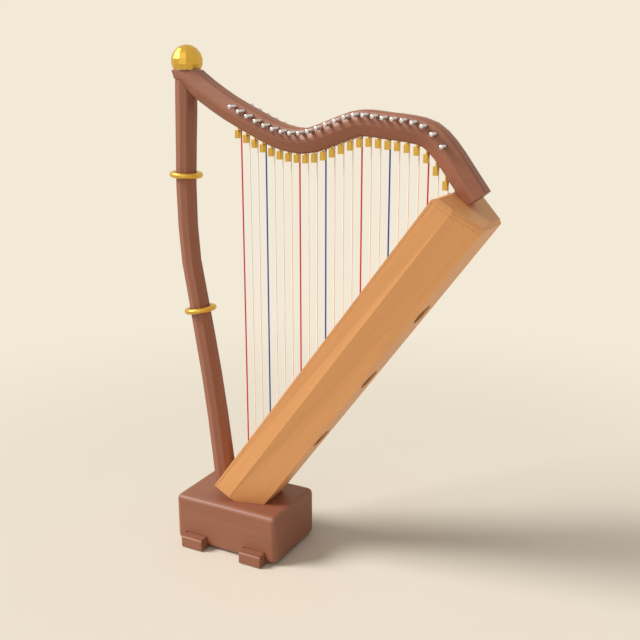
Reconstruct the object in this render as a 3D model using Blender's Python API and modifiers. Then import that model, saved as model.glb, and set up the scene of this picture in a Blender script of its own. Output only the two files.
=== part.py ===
"""A 24-string lap harp: base block with feet, slanted soundbox, bowed pillar, waved neck,
tuning pins, turning blade levers, strings on their rib, and a ball finial."""

import math

import bmesh
import bpy
from mathutils import Matrix, Vector

# All sizes in metres. X runs from pillar to treble end, the strings lie in the plane Y = 0.
FIT_GAP = 0.0003
STRING_COUNT = 24
STRING_PITCH = 0.014
FIRST_STRING_X = 0.0084
STRING_RADIUS = 0.0005

BASE_LENGTH = 0.188
BASE_WIDTH = 0.127
BASE_TOP_Z = 0.083
BASE_UNDERSIDE_Z = 0.002
BASE_EDGE_RADIUS = 0.009
FOOT_WIDTH = 0.041
FOOT_LENGTH = 0.159
FOOT_HEIGHT = 0.020
FOOT_SPACING = 0.110
FOOT_EDGE = 0.002

BOX_FOOT_X = -0.027
BOX_FOOT_Z = 0.1074
BOX_ANGLE = math.radians(53.2)
BOX_LENGTH = 0.611
BOX_FRONT_HALF_WIDTHS = (0.0490, 0.0760)
BOX_MIDDLE_HALF_WIDTHS = (0.0445, 0.0675)
BOX_BACK_HALF_WIDTHS = (0.0270, 0.0405)
BOX_MIDDLE_DEPTHS = (0.0295, 0.0287)
BOX_DEPTHS = (0.0792, 0.0715)
BOX_WALL = 0.004
BOX_END_WALL = 0.010
SOUNDBOARD_THICKNESS = 0.003
CAP_RIM = 0.008
CAP_BEVEL = 0.005
CAP_PLUG = 0.014
PLUG_CLEARANCE = 0.001
SOUND_HOLE_RADIUS = 0.017
FIRST_SOUND_HOLE = 0.178
SOUND_HOLE_PITCH = 0.1345
SOUND_HOLE_COUNT = 3
RIB_WIDTH = 0.012
RIB_THICKNESS = 0.003
RIB_OVERHANG = 0.006

NECK_LINE = ((-0.130, 0.780), (-0.085, 0.7455), (-0.050, 0.720), (-0.010, 0.6965), (0.030, 0.6775),
             (0.068, 0.661), (0.100, 0.6535), (0.128, 0.6545), (0.160, 0.6655), (0.195, 0.6780),
             (0.216, 0.6800), (0.245, 0.6770), (0.276, 0.6740), (0.304, 0.6670), (0.326, 0.6480),
             (0.3473, 0.6206), (0.3727, 0.5863))
NECK_HALF_WIDTH = 0.0205
NECK_HALF_HEIGHT = 0.01775
NECK_FLAT_HALF_WIDTH = 0.01025
NECK_SOFT_EDGE = 0.0025
NECK_HEAD_X = -0.1015
NECK_TOP_Z = 0.750
NECK_STEPS_PER_SPAN = 2
HEEL_HALF_WIDTH = 0.009
HEEL_START_X = 0.343
NECK_TENON_RADIUS = 0.005
NECK_TENON_DEPTH = 0.010
NECK_TENON_SETBACK = 0.024

PILLAR_LINE = ((-0.0875, 0.735), (-0.0890, 0.690), (-0.0915, 0.646), (-0.0945, 0.580),
               (-0.0940, 0.516), (-0.0900, 0.460), (-0.0825, 0.418), (-0.0691, 0.340),
               (-0.0581, 0.273), (-0.0490, 0.206), (-0.0410, 0.137), (-0.0350, 0.0833))
PILLAR_RADII = (0.0173, 0.0172, 0.0168, 0.0163, 0.0159, 0.0159, 0.0161, 0.0168,
                0.0171, 0.0175, 0.0181, 0.0186)
PILLAR_SIDES = 10
PILLAR_TENON_RADIUS = 0.008
PILLAR_TOP_TENON_Z = 0.738
PILLAR_FOOT_TENON_Z = 0.058

RING_TUBE_RADIUS = 0.0044
RING_HEIGHTS = (0.595, 0.383)
FINIAL_CENTRE_X = -0.0845
FINIAL_CENTRE_Z = 0.7627
FINIAL_RADIUS = 0.0238
FINIAL_DOWEL_RADIUS = 0.003
FINIAL_DOWEL_LENGTH = 0.007

PIN_RISE = 0.0115
PIN_RADIUS = 0.0028
PIN_NEAR_Y = -0.032
PIN_FAR_Y = 0.033
PIN_DRIVE_START_Y = 0.0235
PIN_WAIST_RADIUS = 0.0016
PIN_WAIST_HALF_LENGTH = 0.004
PIN_BORE_CLEARANCE = 0.0005
STRING_HOLE_CLEARANCE = 0.0009

LEVER_AXIS_Y = -0.0074
LEVER_REACH = 0.0062
LEVER_BACK = 0.0022
LEVER_HALF_WIDTH = 0.0032
LEVER_HEIGHT = 0.0118
LEVER_NECK_GAP = 0.0008
LEVER_STEM_RADIUS = 0.0015
LEVER_STEM_DEPTH = 0.009
LEVER_STEM_CLEARANCE = 0.0004

EXACT_OVERSHOOT = 0.02

BOX_DIRECTION = Vector((math.cos(BOX_ANGLE), 0.0, math.sin(BOX_ANGLE)))
BOX_DEPTH_DIRECTION = Vector((math.sin(BOX_ANGLE), 0.0, -math.cos(BOX_ANGLE)))
BOX_FOOT = Vector((BOX_FOOT_X, 0.0, BOX_FOOT_Z))


def clear_scene():
    """Remove every object, so the file can be run again."""
    for obj in list(bpy.data.objects):
        bpy.data.objects.remove(obj)


def make_collection(name):
    collection = bpy.data.collections.new(name)
    bpy.context.scene.collection.children.link(collection)
    return collection


def make_material(name, colour, roughness, metallic):
    material = bpy.data.materials.new(name)
    material.use_nodes = True
    shader = material.node_tree.nodes["Principled BSDF"]
    shader.inputs["Base Color"].default_value = (*colour, 1.0)
    shader.inputs["Roughness"].default_value = roughness
    shader.inputs["Metallic"].default_value = metallic
    return material


def add_part(name, bm, material, origin=Vector((0.0, 0.0, 0.0))):
    """Turn a bmesh into a named part hung from the harp's root empty."""
    mesh = bpy.data.meshes.new(name)
    bmesh.ops.recalc_face_normals(bm, faces=bm.faces[:])
    bm.to_mesh(mesh)
    bm.free()
    mesh.materials.append(material)
    obj = bpy.data.objects.new(name, mesh)
    parts.objects.link(obj)
    obj.parent = root
    obj.location = origin
    return obj


def add_cutter(name, bm):
    """Turn a bmesh into a hidden cutter or joining piece, hung from the same root."""
    mesh = bpy.data.meshes.new(name)
    bmesh.ops.recalc_face_normals(bm, faces=bm.faces[:])
    bm.to_mesh(mesh)
    bm.free()
    obj = bpy.data.objects.new(name, mesh)
    cutters.objects.link(obj)
    obj.parent = root
    obj.hide_render = True
    obj.display_type = "WIRE"
    return obj


def combine(obj, other, operation):
    modifier = obj.modifiers.new(f"{operation.lower()} {other.name}", "BOOLEAN")
    modifier.operation = operation
    modifier.solver = "EXACT"
    modifier.object = other


def box_bmesh(low, high):
    """A box between two corners."""
    bm = bmesh.new()
    bmesh.ops.create_cube(bm, size=1.0)
    size = Vector(high) - Vector(low)
    centre = (Vector(high) + Vector(low)) / 2
    bmesh.ops.scale(bm, vec=size, verts=bm.verts)
    bmesh.ops.translate(bm, vec=centre, verts=bm.verts)
    return bm


def cylinder_bmesh(start, end, radius, sides, bm=None):
    """A cylinder of the given radius from start to end, added to bm when one is given."""
    bm = bm or bmesh.new()
    start, end = Vector(start), Vector(end)
    direction = end - start
    turn = direction.to_track_quat("Z", "Y").to_matrix().to_4x4()
    place = Matrix.Translation((start + end) / 2) @ turn @ Matrix.Rotation(math.pi / sides, 4, "Z")
    bmesh.ops.create_cone(bm, cap_ends=True, segments=sides, radius1=radius, radius2=radius,
                          depth=direction.length, matrix=place)
    return bm


def loft_bmesh(rings):
    """Faces between closed rings of like point counts, with both ends capped."""
    bm = bmesh.new()
    loops = [[bm.verts.new(point) for point in ring] for ring in rings]
    count = len(loops[0])
    sides = []
    for first, second in zip(loops, loops[1:]):
        for i in range(count):
            j = (i + 1) % count
            sides.append(bm.faces.new((first[i], first[j], second[j], second[i])))
    bm.faces.new(reversed(loops[0]))
    bm.faces.new(loops[-1])
    bmesh.ops.triangulate(bm, faces=sides)
    return bm


def smooth_line(points, steps):
    """A Catmull-Rom curve through points in the X-Z plane, steps pieces to each span."""
    points = [Vector((x, 0.0, z)) for x, z in points]
    padded = [2 * points[0] - points[1], *points, 2 * points[-1] - points[-2]]
    curve = []
    for a, b, c, d in zip(padded, padded[1:], padded[2:], padded[3:]):
        for i in range(steps):
            t = i / steps
            curve.append(0.5 * (2 * b + (c - a) * t + (2 * a - 5 * b + 4 * c - d) * t ** 2
                                + (3 * b - a - 3 * c + d) * t ** 3))
    curve.append(points[-1])
    return curve


def across(curve, i):
    """The unit direction square to the curve at point i, in the X-Z plane, pointing up."""
    before, after = curve[max(i - 1, 0)], curve[min(i + 1, len(curve) - 1)]
    along = (after - before).normalized()
    return Vector((-along.z, 0.0, along.x))


def height_on(points, x):
    """The height of a line of points at x, by straight runs between its points."""
    for a, b in zip(points, points[1:]):
        if a.x <= x <= b.x:
            return a.z + (b.z - a.z) * (x - a.x) / (b.x - a.x)
    raise ValueError(f"the line does not reach x = {x}")


def offset_outline(outline, distance):
    """A convex outline, listed anticlockwise, moved inwards by distance."""
    count = len(outline)
    moved = []
    for i in range(count):
        before = (outline[i] - outline[i - 1]).normalized()
        after = (outline[(i + 1) % count] - outline[i]).normalized()
        normal_before = Vector((-before.y, before.x))
        normal_after = Vector((-after.y, after.x))
        bisector = (normal_before + normal_after).normalized()
        moved.append(outline[i] + bisector * distance / bisector.dot(normal_before))
    return moved


def blend(pair, share):
    return pair[0] + (pair[1] - pair[0]) * share


def box_outline(share, front_depth=0.0):
    """The soundbox's hexagonal outline (width, depth) at a share of its length."""
    front = blend(BOX_FRONT_HALF_WIDTHS, share)
    middle = blend(BOX_MIDDLE_HALF_WIDTHS, share)
    back = blend(BOX_BACK_HALF_WIDTHS, share)
    middle_depth = blend(BOX_MIDDLE_DEPTHS, share)
    depth = blend(BOX_DEPTHS, share)
    front -= (front - middle) * front_depth / middle_depth
    half = [(front, front_depth), (middle, middle_depth), (back, depth)]
    return [Vector(p) for p in half] + [Vector((-w, d)) for w, d in reversed(half)]


def board_outline(share):
    """The soundboard's outline: the front slice of the soundbox's outline."""
    front = blend(BOX_FRONT_HALF_WIDTHS, share)
    middle = blend(BOX_MIDDLE_HALF_WIDTHS, share)
    inner = front - (front - middle) * SOUNDBOARD_THICKNESS / blend(BOX_MIDDLE_DEPTHS, share)
    return [Vector((front, 0.0)), Vector((inner, SOUNDBOARD_THICKNESS)),
            Vector((-inner, SOUNDBOARD_THICKNESS)), Vector((-front, 0.0))]


def box_point(along, width, depth):
    """A point from its place along, across and into the soundbox."""
    return BOX_FOOT + along * BOX_DIRECTION + depth * BOX_DEPTH_DIRECTION + Vector((0, width, 0))


def box_ring(along, outline):
    return [box_point(along, p.x, p.y) for p in outline]


def string_x(i):
    return FIRST_STRING_X + STRING_PITCH * i


def board_height(x):
    """Height of the soundboard's front face above x, in the plane of the strings."""
    return BOX_FOOT_Z + (x - BOX_FOOT_X) * math.tan(BOX_ANGLE)


def make_base():
    bm = box_bmesh((-BASE_LENGTH / 2, -BASE_WIDTH / 2, BASE_UNDERSIDE_Z),
                   (BASE_LENGTH / 2, BASE_WIDTH / 2, BASE_TOP_Z))
    base = add_part("base_block", bm, dark_wood)
    bevel = base.modifiers.new("rounded edges", "BEVEL")
    bevel.width = BASE_EDGE_RADIUS
    bevel.segments = 3
    grooves = []
    for side in (-1, 1):
        x = side * FOOT_SPACING / 2
        half = FOOT_WIDTH / 2
        low = (x - half - FIT_GAP, -BASE_WIDTH, -EXACT_OVERSHOOT)
        high = (x + half + FIT_GAP, BASE_WIDTH, FOOT_HEIGHT + FIT_GAP)
        grooves.append(add_cutter(f"foot groove {side}", box_bmesh(low, high)))
    heel = add_cutter("soundbox pocket", loft_bmesh([
        box_ring(-FIT_GAP, offset_outline(box_outline(0.0), -FIT_GAP)),
        box_ring(BOX_LENGTH / 2, offset_outline(box_outline(0.5), -FIT_GAP))]))
    foot = PILLAR_LINE[-1][0]
    mortise = add_cutter("pillar mortise in base", cylinder_bmesh(
        (foot, 0, PILLAR_FOOT_TENON_Z - FIT_GAP), (foot, 0, BASE_TOP_Z + EXACT_OVERSHOOT),
        PILLAR_TENON_RADIUS + 2 * FIT_GAP, 12))
    for cutter in (*grooves, heel, mortise):
        combine(base, cutter, "DIFFERENCE")


def make_feet():
    for name, side in (("foot_left", -1), ("foot_right", 1)):
        x = side * FOOT_SPACING / 2
        bm = box_bmesh((x - FOOT_WIDTH / 2, -FOOT_LENGTH / 2, 0.0),
                       (x + FOOT_WIDTH / 2, FOOT_LENGTH / 2, FOOT_HEIGHT))
        foot = add_part(name, bm, dark_wood)
        bevel = foot.modifiers.new("eased edges", "BEVEL")
        bevel.width = FOOT_EDGE
        bevel.segments = 1


def cap_seam():
    """Where the soundbox's sides stop and its cap begins."""
    return BOX_LENGTH - CAP_RIM


def make_soundbox():
    side_end = cap_seam() - FIT_GAP
    open_front = SOUNDBOARD_THICKNESS + FIT_GAP
    shell = add_part("soundbox_shell", loft_bmesh([
        box_ring(0.0, box_outline(0.0, open_front)),
        box_ring(side_end, box_outline(side_end / BOX_LENGTH, open_front))]), pale_wood)
    rings = []
    for along in (BOX_END_WALL, BOX_LENGTH + EXACT_OVERSHOOT):
        outline = offset_outline(box_outline(along / BOX_LENGTH, -EXACT_OVERSHOOT), BOX_WALL)
        rings.append(box_ring(along, outline))
    combine(shell, add_cutter("soundbox cavity", loft_bmesh(rings)), "DIFFERENCE")
    holes = bmesh.new()
    for i in range(SOUND_HOLE_COUNT):
        along = FIRST_SOUND_HOLE + SOUND_HOLE_PITCH * i
        depth = blend(BOX_DEPTHS, along / BOX_LENGTH)
        cylinder_bmesh(box_point(along, 0, depth - EXACT_OVERSHOOT),
                       box_point(along, 0, depth + EXACT_OVERSHOOT), SOUND_HOLE_RADIUS, 20, holes)
    combine(shell, add_cutter("sound holes", holes), "DIFFERENCE")

    add_part("soundboard", loft_bmesh([
        box_ring(0.0, board_outline(0.0)),
        box_ring(side_end, board_outline(side_end / BOX_LENGTH))]), pale_wood)

    top = box_outline(1.0)
    seam_share = cap_seam() / BOX_LENGTH
    bevel_start = BOX_LENGTH - CAP_BEVEL
    cap = add_part("soundbox_cap", loft_bmesh([
        box_ring(cap_seam(), box_outline(seam_share)),
        box_ring(bevel_start, box_outline(bevel_start / BOX_LENGTH)),
        box_ring(BOX_LENGTH, offset_outline(top, CAP_BEVEL))]), pale_wood)
    plug_rings = []
    for along in (cap_seam() - CAP_PLUG, cap_seam() + FIT_GAP):
        outline = box_outline(along / BOX_LENGTH, SOUNDBOARD_THICKNESS + FIT_GAP - BOX_WALL)
        plug_rings.append(box_ring(along, offset_outline(outline, BOX_WALL + PLUG_CLEARANCE)))
    combine(cap, add_cutter("cap plug", loft_bmesh(plug_rings)), "UNION")
    mouth, bottom = neck_tenon_ends()
    reach = (bottom - mouth).normalized() * FIT_GAP
    combine(cap, add_cutter("neck tenon hole", cylinder_bmesh(
        mouth - 10 * reach, bottom + reach, NECK_TENON_RADIUS + 2 * FIT_GAP, 10)), "DIFFERENCE")


def neck_tenon_ends():
    """Both ends of the tenon that goes from the neck's heel into the soundbox cap."""
    mouth = box_point(BOX_LENGTH, 0.0, NECK_TENON_SETBACK)
    return mouth, mouth - BOX_DIRECTION * NECK_TENON_DEPTH


def neck_outline(grow):
    """The neck's six-sided outline with softened edges, as (width, height) points."""
    corners = [Vector(p) for p in (
        (NECK_HALF_WIDTH, 0.0), (NECK_FLAT_HALF_WIDTH, NECK_HALF_HEIGHT),
        (-NECK_FLAT_HALF_WIDTH, NECK_HALF_HEIGHT), (-NECK_HALF_WIDTH, 0.0),
        (-NECK_FLAT_HALF_WIDTH, -NECK_HALF_HEIGHT), (NECK_FLAT_HALF_WIDTH, -NECK_HALF_HEIGHT))]
    corners = offset_outline(corners, -grow)
    outline = []
    for i, corner in enumerate(corners):
        for other in (corners[i - 1], corners[(i + 1) % len(corners)]):
            outline.append(corner + (other - corner).normalized() * NECK_SOFT_EDGE)
    return outline


def neck_rings(grow=0.0):
    outline = neck_outline(grow)
    rings = []
    for i, point in enumerate(neck_curve):
        up = across(neck_curve, i)
        rings.append([point + Vector((0, p.x, 0)) + up * p.y for p in outline])
    return rings


def pin_height(x):
    return height_on(neck_curve, x) + PIN_RISE


def make_neck():
    neck = add_part("neck", loft_bmesh(neck_rings()), dark_wood)
    wide = 4 * NECK_HALF_WIDTH
    head_end = box_bmesh((NECK_HEAD_X - 0.1, -wide, 0.6), (NECK_HEAD_X, wide, 0.9))
    combine(neck, add_cutter("neck head end", head_end), "DIFFERENCE")
    head_top = box_bmesh((NECK_HEAD_X - 0.1, -wide, NECK_TOP_Z), (0.0, wide, 0.9))
    combine(neck, add_cutter("neck head top", head_top), "DIFFERENCE")

    end = neck_curve[-1]
    heel = [Vector((HEEL_START_X, 0, board_height(HEEL_START_X) - 0.03)),
            Vector((end.x - 0.016, 0, end.z - 0.05)),
            Vector((end.x - 0.012, 0, end.z - 0.006)),
            Vector((HEEL_START_X, 0, height_on(neck_curve, HEEL_START_X) - 0.012))]
    side = Vector((0, HEEL_HALF_WIDTH, 0))
    combine(neck, add_cutter("neck heel", loft_bmesh([[p - side for p in heel],
                                                      [p + side for p in heel]])), "UNION")
    seat = [box_point(BOX_LENGTH + FIT_GAP, w, d)
            for w, d in ((wide, -0.1), (wide, 0.2), (-wide, 0.2), (-wide, -0.1))]
    below = [p - BOX_DIRECTION * 0.15 for p in seat]
    combine(neck, add_cutter("plane of the cap", loft_bmesh([seat, below])), "DIFFERENCE")
    mouth, bottom = neck_tenon_ends()
    combine(neck, add_cutter("neck tenon", cylinder_bmesh(
        bottom, mouth + BOX_DIRECTION * 0.012, NECK_TENON_RADIUS, 10)), "UNION")

    bores, string_holes, stem_holes = bmesh.new(), bmesh.new(), bmesh.new()
    for i in range(STRING_COUNT):
        x = string_x(i)
        z = pin_height(x)
        under = underside_height(x)
        cylinder_bmesh((x, -wide, z), (x, wide, z), PIN_RADIUS + PIN_BORE_CLEARANCE, 8, bores)
        cylinder_bmesh((x, 0, under - 0.03), (x, 0, z), STRING_RADIUS + STRING_HOLE_CLEARANCE,
                       6, string_holes)
        top = lever_stem_top(x)
        cylinder_bmesh((x, LEVER_AXIS_Y, under - 0.03), (x, LEVER_AXIS_Y, top + 2 * FIT_GAP),
                       LEVER_STEM_RADIUS + LEVER_STEM_CLEARANCE, 8, stem_holes)
    combine(neck, add_cutter("pin bores", bores), "DIFFERENCE")
    combine(neck, add_cutter("string holes", string_holes), "DIFFERENCE")
    combine(neck, add_cutter("stem holes", stem_holes), "DIFFERENCE")

    mortise = cylinder_bmesh((PILLAR_LINE[0][0], 0, 0.69),
                             (PILLAR_LINE[0][0], 0, PILLAR_TOP_TENON_Z + FIT_GAP),
                             PILLAR_TENON_RADIUS + 2 * FIT_GAP, 12)
    combine(neck, add_cutter("pillar mortise in neck", mortise), "DIFFERENCE")
    dowel_end = NECK_TOP_Z + FIT_GAP - FINIAL_DOWEL_LENGTH - FIT_GAP
    dowel_hole = cylinder_bmesh((FINIAL_CENTRE_X, 0, dowel_end),
                                (FINIAL_CENTRE_X, 0, NECK_TOP_Z + 0.02),
                                FINIAL_DOWEL_RADIUS + 2 * FIT_GAP, 10)
    combine(neck, add_cutter("finial dowel hole", dowel_hole), "DIFFERENCE")


def underside_height(x):
    """Height of the neck's flat underside at x."""
    return height_on(neck_underside, x)


def lever_top(x):
    """Top of a lever's block: a small gap below the lowest part of the neck it turns under.

    It turns by way of the bass side, so only its half width counts on the treble side.
    """
    low, high = x - LEVER_REACH, x + LEVER_HALF_WIDTH
    places = [low + (high - low) * share / 6 for share in range(7)]
    return min(underside_height(place) for place in places) - LEVER_NECK_GAP


def lever_height(x):
    """A block's height: full, or what fits between the neck and the string rib."""
    rib_top = board_height(x + LEVER_HALF_WIDTH) + (RIB_THICKNESS + FIT_GAP) / math.cos(BOX_ANGLE)
    return min(LEVER_HEIGHT, lever_top(x) - LEVER_NECK_GAP - rib_top)


def lever_stem_top(x):
    return underside_height(x) + LEVER_STEM_DEPTH


def make_pillar():
    curve = [Vector((x, 0.0, z)) for x, z in PILLAR_LINE]
    rings = []
    for i, (point, radius) in enumerate(zip(curve, PILLAR_RADII)):
        side = across(curve, i)
        if i in (0, len(curve) - 1):
            side = Vector((1.0, 0.0, 0.0))
        ring = []
        for k in range(PILLAR_SIDES):
            angle = 2 * math.pi * (k + 0.5) / PILLAR_SIDES
            ring.append(point + side * radius * math.cos(angle)
                        + Vector((0, radius * math.sin(angle), 0)))
        rings.append(ring)
    pillar = add_part("pillar", loft_bmesh(rings), dark_wood)
    combine(pillar, add_cutter("neck with clearance", loft_bmesh(neck_rings(FIT_GAP))),
            "DIFFERENCE")
    box = loft_bmesh([box_ring(-FIT_GAP, offset_outline(box_outline(0.0), -FIT_GAP)),
                      box_ring(BOX_LENGTH / 2, offset_outline(box_outline(0.5), -FIT_GAP))])
    combine(pillar, add_cutter("soundbox with clearance", box), "DIFFERENCE")
    top, foot = PILLAR_LINE[0], PILLAR_LINE[-1]
    upper = cylinder_bmesh((top[0], 0, top[1] - 0.06), (top[0], 0, PILLAR_TOP_TENON_Z),
                           PILLAR_TENON_RADIUS, 12)
    lower = cylinder_bmesh((foot[0], 0, PILLAR_FOOT_TENON_Z), (foot[0], 0, foot[1] + 0.02),
                           PILLAR_TENON_RADIUS, 12)
    combine(pillar, add_cutter("upper tenon", upper), "UNION")
    combine(pillar, add_cutter("lower tenon", lower), "UNION")


def pillar_at(height):
    """The pillar's centre, direction and radius at a height."""
    stations = list(zip(PILLAR_LINE, PILLAR_RADII))
    for ((x1, z1), r1), ((x2, z2), r2) in zip(stations, stations[1:]):
        if z2 <= height <= z1:
            share = (height - z1) / (z2 - z1)
            centre = Vector((x1 + (x2 - x1) * share, 0.0, height))
            return centre, Vector((x1 - x2, 0.0, z1 - z2)).normalized(), r1 + (r2 - r1) * share
    raise ValueError(f"the pillar does not reach {height}")


def ring_size(height):
    """A ring's middle radius, from the pillar it is threaded on."""
    return pillar_at(height)[2] + 2 * FIT_GAP + RING_TUBE_RADIUS


def make_rings():
    for name, height in zip(("ring_upper", "ring_lower"), RING_HEIGHTS):
        centre, direction, _ = pillar_at(height)
        bpy.ops.mesh.primitive_torus_add(major_segments=20, minor_segments=8,
                                         major_radius=ring_size(height),
                                         minor_radius=RING_TUBE_RADIUS)
        ring = bpy.context.object
        ring.name = name
        ring.data.name = name
        for collection in ring.users_collection:
            collection.objects.unlink(ring)
        parts.objects.link(ring)
        ring.parent = root
        ring.rotation_euler = direction.to_track_quat("Z", "Y").to_euler()
        ring.location = centre
        ring.data.materials.append(brass)


def make_finial():
    bm = bmesh.new()
    bmesh.ops.create_uvsphere(bm, u_segments=16, v_segments=10, radius=FINIAL_RADIUS)
    finial = add_part("finial", bm, brass, Vector((FINIAL_CENTRE_X, 0.0, FINIAL_CENTRE_Z)))
    seat = NECK_TOP_Z + FIT_GAP
    low = (FINIAL_CENTRE_X - 0.05, -0.05, seat - 0.05)
    high = (FINIAL_CENTRE_X + 0.05, 0.05, seat)
    combine(finial, add_cutter("finial seat", box_bmesh(low, high)), "DIFFERENCE")
    dowel = cylinder_bmesh((FINIAL_CENTRE_X, 0, seat - FINIAL_DOWEL_LENGTH),
                           (FINIAL_CENTRE_X, 0, seat + 0.01), FINIAL_DOWEL_RADIUS, 10)
    combine(finial, add_cutter("finial dowel", dowel), "UNION")


def round_section(y, radius):
    return [Vector((radius * math.cos(a), y, radius * math.sin(a)))
            for a in (math.pi / 4 * k for k in range(8))]


def square_section(y, half):
    """A square outline with points at its corners and the middles of its sides."""
    points = []
    for k in range(8):
        angle = math.pi / 4 * k
        stretch = 1.0 if k % 2 == 0 else math.sqrt(2)
        points.append(Vector((half * stretch * math.cos(angle), y,
                              half * stretch * math.sin(angle))))
    return points


def make_pins():
    """Tuning pins: a round shank with a waist for the string and a square drive at the far end."""
    chamfer = PIN_RADIUS / 4
    step = (PIN_RADIUS - PIN_WAIST_RADIUS) / 2
    waist = PIN_WAIST_HALF_LENGTH
    drive = PIN_RADIUS * 0.7
    for i in range(STRING_COUNT):
        x = string_x(i)
        rings = [round_section(PIN_NEAR_Y, PIN_RADIUS - chamfer),
                 round_section(PIN_NEAR_Y + chamfer, PIN_RADIUS),
                 round_section(-waist - step, PIN_RADIUS),
                 round_section(-waist, PIN_WAIST_RADIUS),
                 round_section(waist, PIN_WAIST_RADIUS),
                 round_section(waist + step, PIN_RADIUS),
                 round_section(PIN_DRIVE_START_Y, PIN_RADIUS),
                 square_section(PIN_DRIVE_START_Y + step, drive),
                 square_section(PIN_FAR_Y, drive)]
        pin = add_part(f"tuning_pin_{i + 1:02d}", loft_bmesh(rings), steel,
                       Vector((x, 0.0, pin_height(x))))
        pin.data.shade_smooth()
        pin.data.set_sharp_from_angle(angle=math.radians(50))


def make_levers():
    """Blade levers: a brass block with a rounded working end, on a stem in the neck."""
    half_angle = math.asin(LEVER_HALF_WIDTH / LEVER_REACH)
    outline = [Vector((LEVER_HALF_WIDTH, LEVER_BACK, 0)), Vector((-LEVER_HALF_WIDTH, LEVER_BACK, 0))]
    for k in range(5):
        angle = -math.pi / 2 + half_angle * (k / 2 - 1)
        outline.append(Vector((LEVER_REACH * math.cos(angle), LEVER_REACH * math.sin(angle), 0)))
    for i in range(STRING_COUNT):
        x = string_x(i)
        top = lever_top(x)
        rise = Vector((0, 0, lever_height(x)))
        lever = add_part(f"sharping_lever_{i + 1:02d}", loft_bmesh([
            [p - rise for p in outline], outline]), brass, Vector((x, LEVER_AXIS_Y, top)))
        stem = cylinder_bmesh((x, LEVER_AXIS_Y, top - lever_height(x) / 2),
                              (x, LEVER_AXIS_Y, lever_stem_top(x)), LEVER_STEM_RADIUS, 8)
        combine(lever, add_cutter(f"lever stem {i + 1}", stem), "UNION")


def make_strings():
    """The 24 strings, joined to the rib that holds their lower ends on the soundboard."""
    lift = RIB_THICKNESS + FIT_GAP
    start = (string_x(0) - BOX_FOOT_X) / math.cos(BOX_ANGLE) - 4 * RIB_OVERHANG
    end = cap_seam() - FIT_GAP
    rings = [[box_point(along, w, d) for w, d in (
        (RIB_WIDTH / 2, -FIT_GAP), (-RIB_WIDTH / 2, -FIT_GAP),
        (-RIB_WIDTH / 2 + RIB_THICKNESS / 3, -lift), (RIB_WIDTH / 2 - RIB_THICKNESS / 3, -lift))]
             for along in (start, end)]
    rib = add_part("strings_and_rib", loft_bmesh(rings), pale_wood)
    strings = bmesh.new()
    rise = lift / math.cos(BOX_ANGLE)
    for i in range(STRING_COUNT):
        x = string_x(i)
        foot = board_height(x) + rise / 2
        head = pin_height(x) - PIN_WAIST_RADIUS - FIT_GAP
        cylinder_bmesh((x, 0, foot), (x, 0, head), STRING_RADIUS, 6, strings)
    combine(rib, add_cutter("strings", strings), "UNION")


def harp_centre_x():
    """The middle of the harp's length, from its upper ring to the soundbox's back corner."""
    centre, direction, _ = pillar_at(RING_HEIGHTS[0])
    left = centre.x - ring_size(RING_HEIGHTS[0]) * direction.z - RING_TUBE_RADIUS
    corner = BOX_LENGTH - CAP_BEVEL
    right = box_point(corner, 0.0, blend(BOX_DEPTHS, corner / BOX_LENGTH)).x
    return (left + right) / 2


clear_scene()
parts = make_collection("lap_harp")
cutters = make_collection("cutters")
root = bpy.data.objects.new("harp_root", None)
parts.objects.link(root)

dark_wood = make_material("dark_wood", (0.27, 0.105, 0.052), 0.45, 0.0)
pale_wood = make_material("pale_wood", (0.66, 0.36, 0.14), 0.5, 0.0)
brass = make_material("brass", (0.68, 0.43, 0.09), 0.3, 0.9)
steel = make_material("steel", (0.7, 0.7, 0.72), 0.2, 1.0)

neck_curve = smooth_line(NECK_LINE, NECK_STEPS_PER_SPAN)
neck_underside = [point - across(neck_curve, i) * NECK_HALF_HEIGHT
                  for i, point in enumerate(neck_curve)]

make_base()
make_feet()
make_soundbox()
make_neck()
make_pillar()
make_rings()
make_finial()
make_pins()
make_levers()
make_strings()
root.location.x = -harp_centre_x()
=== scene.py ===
import math

import bmesh
import bpy
import numpy as np
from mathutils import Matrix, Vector


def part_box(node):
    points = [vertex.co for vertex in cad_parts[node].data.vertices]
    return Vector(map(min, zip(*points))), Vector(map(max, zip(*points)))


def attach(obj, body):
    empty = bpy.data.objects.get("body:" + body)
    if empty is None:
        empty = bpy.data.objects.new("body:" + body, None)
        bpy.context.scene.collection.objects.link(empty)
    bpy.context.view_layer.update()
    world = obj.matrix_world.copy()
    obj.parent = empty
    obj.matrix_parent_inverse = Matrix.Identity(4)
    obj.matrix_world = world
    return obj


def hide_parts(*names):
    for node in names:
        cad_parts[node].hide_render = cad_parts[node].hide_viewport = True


bl_info = {
    "name": "Lap harp",
    "version": (1, 0, 0),
    "blender": (4, 5, 0),
    "location": "3D View > Sidebar > Harp",
    "description": "Dresses a 24-string lap harp in wood, brass, steel and strings, on a stage",
    "category": "Add Mesh",
}

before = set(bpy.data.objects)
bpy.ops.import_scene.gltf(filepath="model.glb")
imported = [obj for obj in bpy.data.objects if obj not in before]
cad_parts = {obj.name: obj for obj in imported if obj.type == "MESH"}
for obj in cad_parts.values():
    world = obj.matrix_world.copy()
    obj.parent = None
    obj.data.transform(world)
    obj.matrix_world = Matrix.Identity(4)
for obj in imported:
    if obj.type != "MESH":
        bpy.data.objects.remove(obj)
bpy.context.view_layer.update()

# How many strings there are, and which of each octave are coloured, counted from 0
STRING_COUNT = 24
OCTAVE = 7
RED_STRING = 0
BLUE_STRING = 3
BACKDROP = (243, 233, 215)

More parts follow.
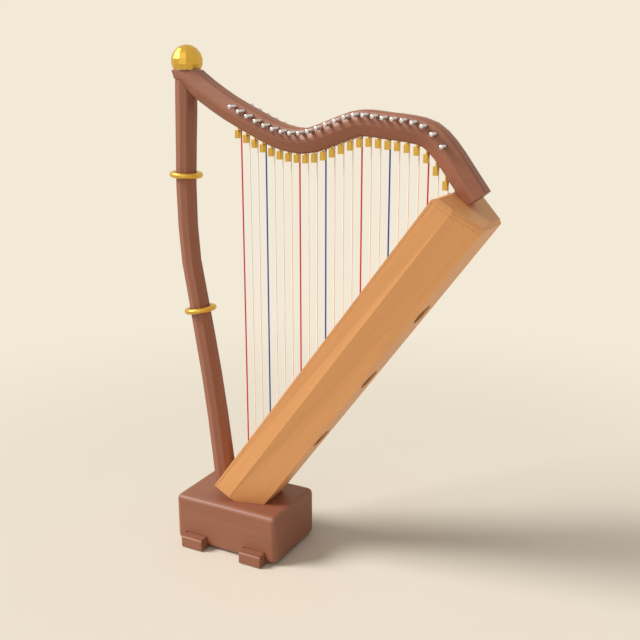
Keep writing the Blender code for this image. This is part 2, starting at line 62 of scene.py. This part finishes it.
# Places and sizes that the CAD model has too, in metres and radians
FINIAL_SEAT_Z = 0.7503
FINIAL_DOWEL_RADIUS = 0.003
RING_TILTS = {"ring_upper": 0.0454, "ring_lower": -0.1701}
RING_TUBE_RADIUS = 0.0044
PIN_WAIST_RADIUS = 0.0016
PIN_WAIST_HALF_LENGTH = 0.004
PIN_WAIST_TAPER = 0.0006
PIN_DRIVE_Y = 0.0235
RIB_HALF_WIDTH = 0.006
FIT_GAP = 0.0003
GRAIN_SLANT = math.radians(53.2)

# The collar where a string comes out of the rib: its width in string widths, and its ends
COLLAR_WIDENING = 1.8
COLLAR_SUNK, COLLAR_HEIGHT, COLLAR_TOP = 0.0008, 0.0010, 0.0018

# Where the camera stands from the middle of the base block, and how it is turned, in degrees
CAMERA_PLACE = (0.7325, -1.1236, 0.7448)
CAMERA_DOWN = 15.4982
CAMERA_LEFT = 27.8454
SUN_HEADING = (0.72, 0.46, -0.72)

# Steps round or along a piece, and the least turn in degrees that stays a sharp edge
FINIAL_SIDES, FINIAL_ROWS = 14, 7
RING_STEPS, TUBE_STEPS = 72, 24
PIN_SIDES = 24
STRING_SIDES = 14
SOFT_CREASE, BOX_CREASE, FLAT_CREASE = 25, 8, 1
BEVELLED_CORNER = 40


def linear(red, green, blue):
    """A colour written in 0 to 255 steps, as the linear colour that a shader takes."""
    values = np.array([red, green, blue]) / 255
    return tuple(float(v) for v in np.where(values <= 0.04045, values / 12.92,
                                            ((values + 0.055) / 1.055) ** 2.4))


class HARP_PG_finish(bpy.types.PropertyGroup):
    """Colours and small sizes of the harp's finish."""

    dark_wood: bpy.props.FloatVectorProperty(
        name="Dark wood", description="Reddish wood of neck, pillar and base", subtype="COLOR",
        default=linear(143, 89, 65))
    pale_wood: bpy.props.FloatVectorProperty(
        name="Pale wood", description="Honey wood of the soundbox", subtype="COLOR",
        default=linear(226, 161, 100))
    brass: bpy.props.FloatVectorProperty(
        name="Brass", description="Finial, rings and levers", subtype="COLOR",
        default=linear(216, 174, 74))
    red: bpy.props.FloatVectorProperty(
        name="Red strings", description="The first note of each octave", subtype="COLOR",
        default=linear(205, 40, 36))
    blue: bpy.props.FloatVectorProperty(
        name="Blue strings", description="The fourth note of each octave", subtype="COLOR",
        default=linear(32, 62, 150))
    natural: bpy.props.FloatVectorProperty(
        name="Natural strings", description="The other strings", subtype="COLOR",
        default=linear(246, 238, 222))
    coloured_radius: bpy.props.FloatProperty(
        name="Coloured string radius", description="Radius of the red and blue strings",
        subtype="DISTANCE", unit="LENGTH", default=0.00115)
    natural_radius: bpy.props.FloatProperty(
        name="Natural string radius", description="Radius of the other strings",
        subtype="DISTANCE", unit="LENGTH", default=0.0009)
    eased_edge: bpy.props.FloatProperty(
        name="Eased edge", description="Width of the rounding on sawn edges", subtype="DISTANCE",
        unit="LENGTH", default=0.0006)


def finish():
    return bpy.context.scene.harp_finish


def new_material(name):
    material = bpy.data.materials.new(name)
    material.use_nodes = True
    return material, material.node_tree, material.node_tree.nodes["Principled BSDF"]


def add_noise(tree, place, scale, detail=2.0):
    noise = tree.nodes.new("ShaderNodeTexNoise")
    noise.inputs["Scale"].default_value = scale
    noise.inputs["Detail"].default_value = detail
    tree.links.new(place, noise.inputs["Vector"])
    return noise


def add_tones(tree, source, shader, colour, dark, light, start=0.0, end=1.0):
    """Colour the surface from dark to light times its colour, as source goes start to end."""
    ramp = tree.nodes.new("ShaderNodeValToRGB")
    shade = np.array(colour)
    for stop, place, factor in zip(ramp.color_ramp.elements, (start, end), (dark, light)):
        stop.position = place
        stop.color = (*np.minimum(shade * factor, 1.0), 1.0)
    tree.links.new(source, ramp.inputs["Fac"])
    tree.links.new(ramp.outputs["Color"], shader.inputs["Base Color"])


def add_roughness(tree, source, shader, low, high):
    gloss = tree.nodes.new("ShaderNodeMapRange")
    gloss.inputs["To Min"].default_value = low
    gloss.inputs["To Max"].default_value = high
    tree.links.new(source, gloss.inputs["Value"])
    tree.links.new(gloss.outputs["Result"], shader.inputs["Roughness"])


def add_bump(tree, source, shader, strength, distance):
    bump = tree.nodes.new("ShaderNodeBump")
    bump.inputs["Strength"].default_value = strength
    bump.inputs["Distance"].default_value = distance
    tree.links.new(source, bump.inputs["Height"])
    tree.links.new(bump.outputs["Normal"], shader.inputs["Normal"])


def wood(name, colour, slant, contrast):
    """Long streaks and fine pores along the grain, which is turned by slant about Y."""
    material, tree, shader = new_material(name)
    nodes, links = tree.nodes, tree.links
    place = nodes.new("ShaderNodeTexCoord")
    turn = nodes.new("ShaderNodeMapping")
    turn.inputs["Rotation"].default_value = (0.0, slant, 0.0)
    links.new(place.outputs["Object"], turn.inputs["Vector"])

    def stretched(scale):
        mapping = nodes.new("ShaderNodeMapping")
        mapping.inputs["Scale"].default_value = scale
        links.new(turn.outputs["Vector"], mapping.inputs["Vector"])
        return mapping.outputs["Vector"]

    streaks = add_noise(tree, stretched((5.0, 70.0, 70.0)), 1.0, 6.0)
    streaks.inputs["Distortion"].default_value = 0.6
    pores = add_noise(tree, stretched((90.0, 1400.0, 1400.0)), 1.0, 3.0)
    blend = nodes.new("ShaderNodeMath")
    blend.operation = "MULTIPLY_ADD"
    blend.inputs[1].default_value = 0.35
    links.new(pores.outputs["Fac"], blend.inputs[0])
    links.new(streaks.outputs["Fac"], blend.inputs[2])
    add_tones(tree, blend.outputs[0], shader, colour, 1.0 - contrast, 1.0 + contrast, 0.42, 0.93)
    add_roughness(tree, streaks.outputs["Fac"], shader, 0.42, 0.6)
    add_bump(tree, pores.outputs["Fac"], shader, 0.12, 0.0004)
    shader.inputs["Coat Weight"].default_value = 0.06
    shader.inputs["Coat Roughness"].default_value = 0.25
    return material


def metal(name, colour, low, high, scale):
    """Metal whose roughness wanders between low and high, with a faint unevenness."""
    material, tree, shader = new_material(name)
    place = tree.nodes.new("ShaderNodeTexCoord")
    cloud = add_noise(tree, place.outputs["Object"], scale, 5.0).outputs["Fac"]
    add_tones(tree, cloud, shader, colour, 0.86, 1.08)
    add_roughness(tree, cloud, shader, low, high)
    add_bump(tree, cloud, shader, 0.04, 0.0002)
    shader.inputs["Metallic"].default_value = 0.85
    return material


def nylon(name, colour):
    """Smooth string with a faint change of tone along it."""
    material, tree, shader = new_material(name)
    place = tree.nodes.new("ShaderNodeTexCoord")
    cloud = add_noise(tree, place.outputs["Object"], 60.0).outputs["Fac"]
    add_tones(tree, cloud, shader, colour, 0.9, 1.08)
    shader.inputs["Roughness"].default_value = 0.35
    return material


def seen_directly(tree):
    """1 for rays from the camera, off metal or through glass, and 0 for light on the object."""
    path = tree.nodes.new("ShaderNodeLightPath")
    seen = path.outputs["Is Camera Ray"]
    for kind in ("Is Glossy Ray", "Is Transmission Ray"):
        either = tree.nodes.new("ShaderNodeMath")
        either.operation = "MAXIMUM"
        tree.links.new(seen, either.inputs[0])
        tree.links.new(path.outputs[kind], either.inputs[1])
        seen = either.outputs[0]
    return seen


def skin(name, rings, material, body, replaced, crease=SOFT_CREASE):
    """A closed piece from rings P(i, j) of points: quads between rings, a fan on each end."""
    rings = np.asarray(rings, dtype=float)
    count, around, _ = rings.shape
    ends = np.array([rings[0].mean(0), rings[-1].mean(0)])
    verts = np.vstack([rings.reshape(-1, 3), ends])
    i, j = np.meshgrid(np.arange(count - 1), np.arange(around), indexing="ij")
    k = (j + 1) % around
    quads = np.stack([i * around + j, i * around + k, (i + 1) * around + k, (i + 1) * around + j],
                     axis=-1).reshape(-1, 4)
    j = np.arange(around)
    k = (j + 1) % around
    last = (count - 1) * around
    first_fan = np.stack([np.full(around, count * around), k, j], axis=-1)
    last_fan = np.stack([np.full(around, count * around + 1), last + j, last + k], axis=-1)
    mesh = bpy.data.meshes.new(name)
    mesh.from_pydata(verts.tolist(), [], quads.tolist() + first_fan.tolist() + last_fan.tolist())
    return dress(name, mesh, material, body, replaced, crease)


def dress(name, mesh, material, body, replaced, crease=SOFT_CREASE):
    """Put a mesh in the scene, sharp where it turns by more than crease degrees."""
    mesh.materials.clear()
    mesh.materials.append(material)
    mesh.shade_smooth()
    mesh.set_sharp_from_angle(angle=math.radians(crease))
    piece = bpy.data.objects.new(name, mesh)
    bpy.context.scene.collection.objects.link(piece)
    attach(piece, body)
    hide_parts(*replaced)
    return piece


def turned(axis_point, axis, profile, around):
    """Rings of a turned piece: P(i, t) = o + h_i a + r_i (cos t u + sin t v), u and v
    square to the axis a, for each (r_i, h_i) of the profile."""
    axis = Vector(axis).normalized()
    side = axis.orthogonal().normalized()
    other = axis.cross(side)
    angles = np.linspace(0, 2 * np.pi, around, endpoint=False)
    profile = np.asarray(profile)
    circle = np.cos(angles)[:, None] * np.array(side) + np.sin(angles)[:, None] * np.array(other)
    return (np.array(axis_point) + profile[:, 1][:, None, None] * np.array(axis)
            + profile[:, 0][:, None, None] * circle)


def eased(node, name, material, body, width, crease=SOFT_CREASE):
    """A merged copy of a CAD node with its sawn edges rounded."""
    bm = bmesh.new()
    bm.from_mesh(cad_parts[node].data)
    bmesh.ops.remove_doubles(bm, verts=bm.verts, dist=0.000002)
    bmesh.ops.dissolve_limit(bm, angle_limit=math.radians(0.5), verts=bm.verts, edges=bm.edges)
    mesh = bpy.data.meshes.new(name)
    bm.to_mesh(mesh)
    bm.free()
    piece = dress(name, mesh, material, body, [node], crease)
    bevel = piece.modifiers.new("eased edges", "BEVEL")
    bevel.width = width
    bevel.segments = 2
    bevel.limit_method = "ANGLE"
    bevel.angle_limit = math.radians(BEVELLED_CORNER)
    bevel.harden_normals = False
    normals = piece.modifiers.new("even shading", "WEIGHTED_NORMAL")
    normals.keep_sharp = True
    return piece


class HARP_OT_frame_wood(bpy.types.Operator):
    """Ease and finish the neck, pillar, base block and feet in dark wood."""

    bl_idname = "harp.frame_wood"
    bl_label = "Neck, pillar and base"

    def execute(self, context):
        colour, edge = tuple(finish().dark_wood), finish().eased_edge
        along = wood("dark wood along", colour, 0.0, 0.10)
        upright = wood("dark wood upright", colour, math.pi / 2, 0.10)
        eased("neck", "neck_dressed", along, "frame", edge)
        eased("pillar", "pillar_dressed", upright, "frame", edge)
        eased("base_block", "base_dressed", along, "frame", edge)
        for name in ("foot_left", "foot_right"):
            eased(name, f"{name}_dressed", along, "frame", edge)
        return {"FINISHED"}


class HARP_OT_soundbox(bpy.types.Operator):
    """Ease and finish the soundbox, its board and its cap in pale wood."""

    bl_idname = "harp.soundbox"
    bl_label = "Soundbox"

    def execute(self, context):
        material = wood("pale wood", tuple(finish().pale_wood), GRAIN_SLANT, 0.06)
        for name in ("soundbox_shell", "soundboard", "soundbox_cap"):
            eased(name, f"{name}_dressed", material, "frame",
                  finish().eased_edge * 0.25, BOX_CREASE)
        return {"FINISHED"}


class HARP_OT_brass(bpy.types.Operator):
    """Turn the finial and the rings, and finish the levers in brass."""

    bl_idname = "harp.brass"
    bl_label = "Finial, rings and levers"

    def execute(self, context):
        material = metal("brass", tuple(finish().brass), 0.24, 0.36, 45.0)
        low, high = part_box("finial")
        radius = (high.y - low.y) / 2
        centre = Vector(((low.x + high.x) / 2, 0.0, high.z - radius))
        seat = FINIAL_SEAT_Z - centre.z
        cut = math.acos(seat / radius)
        sweep = np.linspace(0.02, cut, FINIAL_ROWS)
        profile = np.column_stack([radius * np.sin(sweep), radius * np.cos(sweep)])
        dowel = [(FINIAL_DOWEL_RADIUS, seat), (FINIAL_DOWEL_RADIUS, low.z - centre.z)]
        rings = turned(centre, (0, 0, 1), np.vstack([profile, dowel])[::-1], FINIAL_SIDES)
        skin("finial_dressed", rings, material, "frame", ["finial"], FLAT_CREASE)
        for name, tilt in RING_TILTS.items():
            low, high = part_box(name)
            middle = (low + high) / 2
            self.ring(name, middle, (high.y - low.y) / 2 - RING_TUBE_RADIUS, tilt, material)
        for i in range(STRING_COUNT):
            key = f"{i + 1:02d}"
            eased(f"sharping_lever_{key}", f"lever_{key}_dressed", material, f"lever_{key}",
                  finish().eased_edge / 2)
        return {"FINISHED"}

    def ring(self, name, centre, radius, tilt, material):
        """A torus ((R + r cos v) cos u, (R + r cos v) sin u, r sin v), tilted about Y."""
        big, small = np.meshgrid(np.linspace(0, 2 * np.pi, RING_STEPS, endpoint=False),
                                 np.linspace(0, 2 * np.pi, TUBE_STEPS, endpoint=False),
                                 indexing="ij")
        reach = radius + RING_TUBE_RADIUS * np.cos(small)
        x, y, z = reach * np.cos(big), reach * np.sin(big), RING_TUBE_RADIUS * np.sin(small)
        points = np.stack([x * math.cos(tilt) + z * math.sin(tilt) + centre.x, y + centre.y,
                           z * math.cos(tilt) - x * math.sin(tilt) + centre.z], axis=-1)
        rows, columns = big.shape
        i, j = np.meshgrid(np.arange(rows), np.arange(columns), indexing="ij")
        a, b = (i + 1) % rows, (j + 1) % columns
        quads = np.stack([i * columns + j, a * columns + j, a * columns + b, i * columns + b],
                         axis=-1).reshape(-1, 4)
        mesh = bpy.data.meshes.new(f"{name}_dressed")
        mesh.from_pydata(points.reshape(-1, 3).tolist(), [], quads.tolist())
        dress(f"{name}_dressed", mesh, material, "frame", [name])


class HARP_OT_pins(bpy.types.Operator):
    """Turn the tuning pins: a domed near end, a waist for the string and a square drive."""

    bl_idname = "harp.pins"
    bl_label = "Tuning pins"

    def execute(self, context):
        material = metal("steel", linear(214, 214, 218), 0.14, 0.3, 120.0)
        for i in range(STRING_COUNT):
            key = f"{i + 1:02d}"
            low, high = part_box(f"tuning_pin_{key}")
            centre = (low + high) / 2
            radius = (high.z - low.z) / 2
            dome = np.linspace(0.05, np.pi / 2, 6)
            profile = [(radius * math.sin(a), low.y + 0.4 * radius * (1 - math.cos(a)))
                       for a in dome]
            shoulder = PIN_WAIST_HALF_LENGTH + PIN_WAIST_TAPER
            profile += [(radius, -shoulder), (PIN_WAIST_RADIUS, -PIN_WAIST_HALF_LENGTH),
                        (PIN_WAIST_RADIUS, PIN_WAIST_HALF_LENGTH), (radius, shoulder),
                        (radius, PIN_DRIVE_Y)]
            rings = turned((centre.x, 0, centre.z), (0, 1, 0), profile, PIN_SIDES)
            square = [self.square(centre, radius * 0.7, y)
                      for y in (PIN_DRIVE_Y + PIN_WAIST_TAPER, high.y)]
            skin(f"pin_{key}_dressed", np.concatenate([rings, square]), material, f"pin_{key}",
                 [f"tuning_pin_{key}"])
        return {"FINISHED"}

    def square(self, centre, half, y):
        """A ring of points on a square of the given half side, by the same angles as a circle."""
        axis = Vector((0, 1, 0))
        side = axis.orthogonal().normalized()
        other = axis.cross(side)
        angles = np.linspace(0, 2 * np.pi, PIN_SIDES, endpoint=False)
        reach = half / np.maximum(np.abs(np.cos(angles)), np.abs(np.sin(angles)))
        return (np.array((centre.x, y, centre.z))
                + (reach * np.cos(angles))[:, None] * np.array(side)
                + (reach * np.sin(angles))[:, None] * np.array(other))


class HARP_OT_strings(bpy.types.Operator):
    """Stretch the 24 strings in their colours, and lay the rib that holds their lower ends."""

    bl_idname = "harp.strings"
    bl_label = "Strings and rib"

    def execute(self, context):
        setting = finish()
        colours = {RED_STRING: nylon("red nylon", tuple(setting.red)),
                   BLUE_STRING: nylon("blue nylon", tuple(setting.blue))}
        natural = nylon("natural nylon", tuple(setting.natural))
        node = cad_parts["strings_and_rib"]
        points = np.empty(len(node.data.vertices) * 3)
        node.data.vertices.foreach_get("co", points)
        points = points.reshape(-1, 3)
        rib = points[np.abs(points[:, 1]) > 0.0035]
        cosine, sine = math.cos(GRAIN_SLANT), math.sin(GRAIN_SLANT)
        along = rib @ np.array((cosine, 0, sine))
        rise = rib @ np.array((-sine, 0, cosine))
        for i in range(STRING_COUNT):
            low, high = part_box(f"tuning_pin_{i + 1:02d}")
            x = (low.x + high.x) / 2
            coloured = i % OCTAVE in colours
            radius = setting.coloured_radius if coloured else setting.natural_radius
            foot = (rise.max() + sine * x) / cosine
            head = (low.z + high.z) / 2 - PIN_WAIST_RADIUS - FIT_GAP
            collar = radius * COLLAR_WIDENING
            profile = [(collar, foot - COLLAR_SUNK), (collar, foot + COLLAR_HEIGHT),
                       (radius, foot + COLLAR_TOP), (radius, head)]
            skin(f"string_{i + 1:02d}", turned((x, 0, 0), (0, 0, 1), profile, STRING_SIDES),
                 colours.get(i % OCTAVE, natural), "frame", ["strings_and_rib"])
        self.rib((along.min(), along.max()), (rise.min(), rise.max()), cosine, sine)
        return {"FINISHED"}

    def rib(self, along, rise, cosine, sine):
        """A moulding P(s, t) = s a + (n0 + d sin(t)^0.6) n + w cos t y, with a up the board,
        n out of it, d the rib's depth and w its half width."""
        turn = np.linspace(0, np.pi, 17)
        up, out = np.array((cosine, 0, sine)), np.array((-sine, 0, cosine))
        height = rise[0] + (rise[1] - rise[0]) * np.clip(np.sin(turn), 0, 1) ** 0.6
        across = RIB_HALF_WIDTH * np.cos(turn)
        section = height[:, None] * out + across[:, None] * np.array((0, 1, 0))
        rings = [section + s * up for s in np.linspace(*along, 24)]
        material = wood("rib wood", linear(206, 150, 100), GRAIN_SLANT, 0.08)
        skin("string_rib_dressed", rings, material, "frame", ["strings_and_rib"])


class HARP_OT_stage(bpy.types.Operator):
    """Set the pale floor, soft lights and the camera at the photograph's viewing angle."""

    bl_idname = "harp.stage"
    bl_label = "Stage"

    def execute(self, context):
        low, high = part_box("base_block")
        base_x = (low.x + high.x) / 2
        camera = bpy.data.cameras.new("camera")
        camera.lens = 50.0
        camera.sensor_width = 36.0
        eye = bpy.data.objects.new("camera", camera)
        eye.location = Vector((base_x, 0.0, 0.0)) + Vector(CAMERA_PLACE)
        eye.rotation_euler = (math.radians(90 - CAMERA_DOWN), 0.0, math.radians(CAMERA_LEFT))
        context.scene.collection.objects.link(eye)
        context.scene.camera = eye
        self.floor(context, linear(*BACKDROP))
        sun = bpy.data.lights.new("key light", "SUN")
        sun.energy = 3.3
        sun.angle = math.radians(25)
        key = bpy.data.objects.new("key light", sun)
        key.rotation_euler = Vector(SUN_HEADING).to_track_quat("-Z", "Y").to_euler()
        context.scene.collection.objects.link(key)
        self.lamp(context, "fill light", (0.2, -2.6, 1.6), 12.0, 2.4)
        world = bpy.data.worlds.new("studio")
        context.scene.world = world
        world.use_nodes = True
        nodes, links = world.node_tree.nodes, world.node_tree.links
        plain = nodes["Background"]
        plain.inputs["Color"].default_value = (1.0, 0.97, 0.93, 1.0)
        plain.inputs["Strength"].default_value = 0.35
        seen = nodes.new("ShaderNodeBackground")
        seen.inputs["Color"].default_value = (*linear(*BACKDROP), 1.0)
        mix = nodes.new("ShaderNodeMixShader")
        links.new(seen_directly(world.node_tree), mix.inputs["Fac"])
        links.new(plain.outputs[0], mix.inputs[1])
        links.new(seen.outputs[0], mix.inputs[2])
        links.new(mix.outputs[0], nodes["World Output"].inputs["Surface"])
        context.scene.view_settings.view_transform = "Standard"
        return {"FINISHED"}

    def floor(self, context, colour):
        """A plane that fades into the backdrop's own colour away from the harp."""
        mesh = bpy.data.meshes.new("floor")
        reach = 40.0
        mesh.from_pydata([(-reach, -reach, 0), (reach, -reach, 0), (reach, reach, 0),
                          (-reach, reach, 0)], [], [(0, 1, 2, 3)])
        material, tree, shader = new_material("floor")
        shader.inputs["Base Color"].default_value = (*(0.84 * c for c in colour), 1.0)
        shader.inputs["Roughness"].default_value = 0.9
        nodes, links = tree.nodes, tree.links
        place = nodes.new("ShaderNodeTexCoord")
        distance = nodes.new("ShaderNodeVectorMath")
        distance.operation = "LENGTH"
        links.new(place.outputs["Object"], distance.inputs[0])
        fade = nodes.new("ShaderNodeMapRange")
        fade.interpolation_type = "SMOOTHSTEP"
        fade.inputs["From Min"].default_value = 0.55
        fade.inputs["From Max"].default_value = 1.5
        links.new(distance.outputs["Value"], fade.inputs["Value"])
        seen = nodes.new("ShaderNodeMath")
        seen.operation = "MULTIPLY"
        links.new(fade.outputs["Result"], seen.inputs[0])
        links.new(seen_directly(tree), seen.inputs[1])
        glow = nodes.new("ShaderNodeEmission")
        glow.inputs["Color"].default_value = (*colour, 1.0)
        mix = nodes.new("ShaderNodeMixShader")
        links.new(seen.outputs[0], mix.inputs["Fac"])
        links.new(shader.outputs[0], mix.inputs[1])
        links.new(glow.outputs[0], mix.inputs[2])
        links.new(mix.outputs[0], nodes["Material Output"].inputs["Surface"])
        mesh.materials.append(material)
        floor = bpy.data.objects.new("floor", mesh)
        context.scene.collection.objects.link(floor)

    def lamp(self, context, name, place, power, size):
        light = bpy.data.lights.new(name, "AREA")
        light.energy = power
        light.size = size
        lamp = bpy.data.objects.new(name, light)
        lamp.location = place
        aim = Vector((0.0, 0.0, 0.4)) - Vector(place)
        lamp.rotation_euler = aim.to_track_quat("-Z", "Y").to_euler()
        context.scene.collection.objects.link(lamp)


class HARP_PT_panel(bpy.types.Panel):
    """Lists the harp's finish and its operators."""

    bl_label = "Lap harp"
    bl_space_type = "VIEW_3D"
    bl_region_type = "UI"
    bl_category = "Harp"

    def draw(self, context):
        for name in HARP_PG_finish.__annotations__:
            self.layout.prop(context.scene.harp_finish, name)
        for operator in OPERATORS:
            self.layout.operator(operator.bl_idname)


OPERATORS = (HARP_OT_stage, HARP_OT_frame_wood, HARP_OT_soundbox, HARP_OT_brass, HARP_OT_pins,
             HARP_OT_strings)
CLASSES = (HARP_PG_finish, *OPERATORS, HARP_PT_panel)


def register():
    for item in CLASSES:
        bpy.utils.register_class(item)
    bpy.types.Scene.harp_finish = bpy.props.PointerProperty(type=HARP_PG_finish)


def unregister():
    del bpy.types.Scene.harp_finish
    for item in reversed(CLASSES):
        bpy.utils.unregister_class(item)


def main():
    register()
    bpy.ops.harp.stage()
    bpy.ops.harp.frame_wood()
    bpy.ops.harp.soundbox()
    bpy.ops.harp.brass()
    bpy.ops.harp.pins()
    bpy.ops.harp.strings()


if __name__ == "__main__":
    main()
